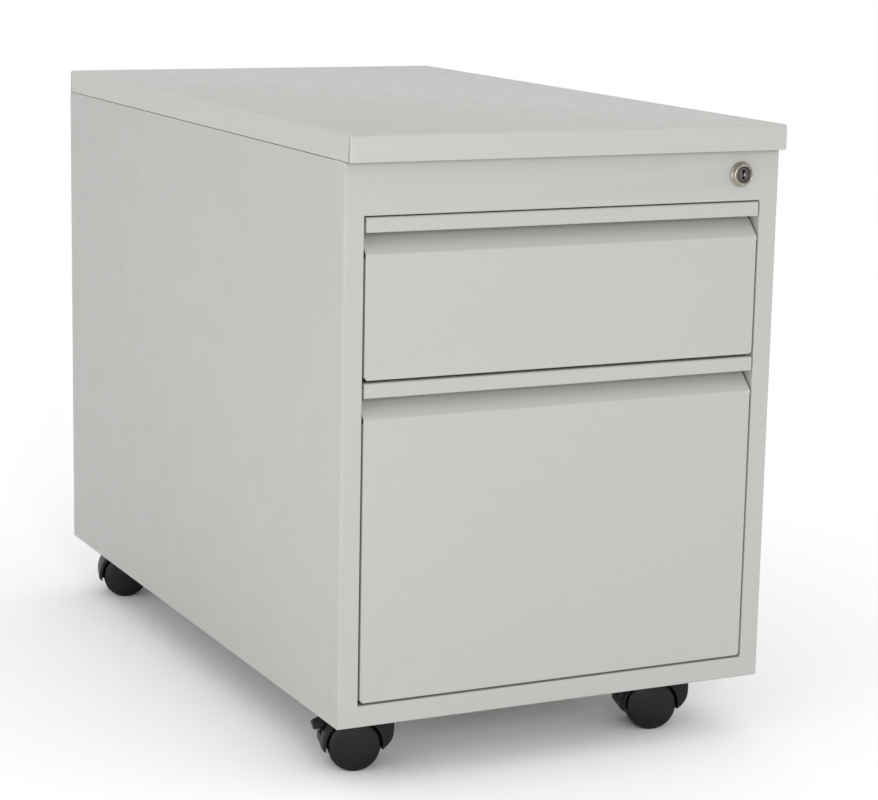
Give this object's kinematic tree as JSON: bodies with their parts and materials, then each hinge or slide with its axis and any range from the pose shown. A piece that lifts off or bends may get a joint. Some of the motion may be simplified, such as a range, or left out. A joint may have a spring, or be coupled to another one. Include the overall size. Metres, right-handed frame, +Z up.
{
  "type": "mobile filing cabinet",
  "caption": "Low steel pedestal on castors with a shallow drawer over a deep file drawer, recessed full-width finger pulls, a lock in the upper fascia and a laminate top.",
  "frame": {"origin": "centre of the footprint at floor level, under the middle of the cabinet", "axes": "+X to the right seen from the front, +Y from the drawer fronts to the back, +Z up"},
  "size_m": [0.43, 0.752, 0.5763],
  "materials": {
    "powder_coat": "fine-textured light grey powder coat on sheet steel",
    "laminate": "light grey melamine-faced board",
    "edge_band": "light grey plastic edge band, slightly warmer than the board",
    "black_plastic": "black moulded nylon, satin",
    "zinc_steel": "bright zinc plating",
    "nickel": "satin nickel plating"
  },
  "bodies": {
    "cabinet": {"top_panel": "laminate", "top_edge_band": "edge_band", "side_panel_left": "powder_coat", "side_panel_right": "powder_coat", "back_panel": "powder_coat", "base_pan": "powder_coat", "front_jamb_left": "powder_coat", "front_jamb_right": "powder_coat", "front_fascia": "powder_coat", "front_bottom_rail": "powder_coat", "top_rail_rear": "powder_coat", "base_channel_front": "zinc_steel", "base_channel_rear": "zinc_steel", "upper_slide_cabinet_member_left": "zinc_steel", "upper_slide_cabinet_member_right": "zinc_steel", "lower_slide_cabinet_member_left": "zinc_steel", "lower_slide_cabinet_member_right": "zinc_steel", "lock_housing": "nickel", "castor_stem_front_left": "zinc_steel", "castor_stem_front_right": "zinc_steel", "castor_stem_rear_left": "zinc_steel", "castor_stem_rear_right": "zinc_steel"},
    "upper_drawer": {"upper_drawer_front": "powder_coat", "upper_drawer_tub": "powder_coat", "upper_lock_catch": "zinc_steel", "upper_slide_drawer_member_left": "zinc_steel", "upper_slide_drawer_member_right": "zinc_steel"},
    "upper_intermediates": {"upper_slide_intermediate_member_left": "zinc_steel", "upper_slide_intermediate_member_right": "zinc_steel"},
    "lower_drawer": {"lower_drawer_front": "powder_coat", "lower_drawer_tub": "powder_coat", "lower_lock_catch": "zinc_steel", "lower_slide_drawer_member_left": "zinc_steel", "lower_slide_drawer_member_right": "zinc_steel", "hanging_rail_left": "zinc_steel", "hanging_rail_right": "zinc_steel"},
    "lower_intermediates": {"lower_slide_intermediate_member_left": "zinc_steel", "lower_slide_intermediate_member_right": "zinc_steel"},
    "lock_core": {"lock_cylinder": "nickel", "lock_cam": "zinc_steel"},
    "lock_bar": {"lock_bar": "zinc_steel"},
    "castor_front_left": {"castor_hood_front_left": "black_plastic", "castor_axle_front_left": "zinc_steel"},
    "wheel_front_left_a": {"castor_wheel_front_left_a": "black_plastic"},
    "wheel_front_left_b": {"castor_wheel_front_left_b": "black_plastic"},
    "brake_front_left": {"brake_pedal_front_left": "black_plastic"},
    "castor_front_right": {"castor_hood_front_right": "black_plastic", "castor_axle_front_right": "zinc_steel"},
    "wheel_front_right_a": {"castor_wheel_front_right_a": "black_plastic"},
    "wheel_front_right_b": {"castor_wheel_front_right_b": "black_plastic"},
    "brake_front_right": {"brake_pedal_front_right": "black_plastic"},
    "castor_rear_left": {"castor_hood_rear_left": "black_plastic", "castor_axle_rear_left": "zinc_steel"},
    "wheel_rear_left_a": {"castor_wheel_rear_left_a": "black_plastic"},
    "wheel_rear_left_b": {"castor_wheel_rear_left_b": "black_plastic"},
    "castor_rear_right": {"castor_hood_rear_right": "black_plastic", "castor_axle_rear_right": "zinc_steel"},
    "wheel_rear_right_a": {"castor_wheel_rear_right_a": "black_plastic"},
    "wheel_rear_right_b": {"castor_wheel_rear_right_b": "black_plastic"}
  },
  "joints": [
    {"name": "upper_drawer_slide", "type": "slide", "parent": "cabinet", "child": "upper_drawer", "axis": [0, -1, 0], "range_m": [0, 0.52]},
    {"name": "upper_intermediate_slide", "type": "slide", "parent": "cabinet", "child": "upper_intermediates", "axis": [0, -1, 0], "range_m": [0, 0.26]},
    {"name": "lower_drawer_slide", "type": "slide", "parent": "cabinet", "child": "lower_drawer", "axis": [0, -1, 0], "range_m": [0, 0.62]},
    {"name": "lower_intermediate_slide", "type": "slide", "parent": "cabinet", "child": "lower_intermediates", "axis": [0, -1, 0], "range_m": [0, 0.31]},
    {"name": "lock_turn", "type": "hinge", "parent": "cabinet", "child": "lock_core", "pos_m": [0.1746, -0.364, 0.5312], "axis": [0, -1, 0], "range_deg": [0, 90]},
    {"name": "lock_bar_lift", "type": "slide", "parent": "cabinet", "child": "lock_bar", "axis": [0, 0, 1], "range_m": [0, 0.017]},
    {"name": "castor_swivel_front_left", "type": "hinge", "parent": "cabinet", "child": "castor_front_left", "pos_m": [-0.1536, -0.304, 0], "axis": [0, 0, 1], "continuous": true},
    {"name": "castor_roll_front_left_a", "type": "hinge", "parent": "castor_front_left", "child": "wheel_front_left_a", "pos_m": [-0.17283, -0.29849, 0.0238], "axis": [0.2756, 0.9613, 0], "continuous": true},
    {"name": "castor_roll_front_left_b", "type": "hinge", "parent": "castor_front_left", "child": "wheel_front_left_b", "pos_m": [-0.17283, -0.29849, 0.0238], "axis": [0.2756, 0.9613, 0], "continuous": true},
    {"name": "brake_hinge_front_left", "type": "hinge", "parent": "castor_front_left", "child": "brake_front_left", "pos_m": [-0.18724, -0.29435, 0.048], "axis": [-0.2756, -0.9613, 0], "range_deg": [0, 10]},
    {"name": "castor_swivel_front_right", "type": "hinge", "parent": "cabinet", "child": "castor_front_right", "pos_m": [0.1536, -0.304, 0], "axis": [0, 0, 1], "continuous": true},
    {"name": "castor_roll_front_right_a", "type": "hinge", "parent": "castor_front_right", "child": "wheel_front_right_a", "pos_m": [0.13437, -0.29849, 0.0238], "axis": [0.2756, 0.9613, 0], "continuous": true},
    {"name": "castor_roll_front_right_b", "type": "hinge", "parent": "castor_front_right", "child": "wheel_front_right_b", "pos_m": [0.13437, -0.29849, 0.0238], "axis": [0.2756, 0.9613, 0], "continuous": true},
    {"name": "brake_hinge_front_right", "type": "hinge", "parent": "castor_front_right", "child": "brake_front_right", "pos_m": [0.11996, -0.29435, 0.048], "axis": [-0.2756, -0.9613, 0], "range_deg": [0, 10]},
    {"name": "castor_swivel_rear_left", "type": "hinge", "parent": "cabinet", "child": "castor_rear_left", "pos_m": [-0.1536, 0.3205, 0], "axis": [0, 0, 1], "continuous": true},
    {"name": "castor_roll_rear_left_a", "type": "hinge", "parent": "castor_rear_left", "child": "wheel_rear_left_a", "pos_m": [-0.17283, 0.32601, 0.0238], "axis": [0.2756, 0.9613, 0], "continuous": true},
    {"name": "castor_roll_rear_left_b", "type": "hinge", "parent": "castor_rear_left", "child": "wheel_rear_left_b", "pos_m": [-0.17283, 0.32601, 0.0238], "axis": [0.2756, 0.9613, 0], "continuous": true},
    {"name": "castor_swivel_rear_right", "type": "hinge", "parent": "cabinet", "child": "castor_rear_right", "pos_m": [0.1536, 0.3205, 0], "axis": [0, 0, 1], "continuous": true},
    {"name": "castor_roll_rear_right_a", "type": "hinge", "parent": "castor_rear_right", "child": "wheel_rear_right_a", "pos_m": [0.13437, 0.32601, 0.0238], "axis": [0.2756, 0.9613, 0], "continuous": true},
    {"name": "castor_roll_rear_right_b", "type": "hinge", "parent": "castor_rear_right", "child": "wheel_rear_right_b", "pos_m": [0.13437, 0.32601, 0.0238], "axis": [0.2756, 0.9613, 0], "continuous": true}
  ],
  "couplings": [
    {"joint": "upper_intermediate_slide", "follows": "upper_drawer_slide", "ratio": 0.5},
    {"joint": "lower_intermediate_slide", "follows": "lower_drawer_slide", "ratio": 0.5},
    {"joint": "lock_turn", "follows": "lock_bar_lift", "rad_per_m": 92.39}
  ]
}
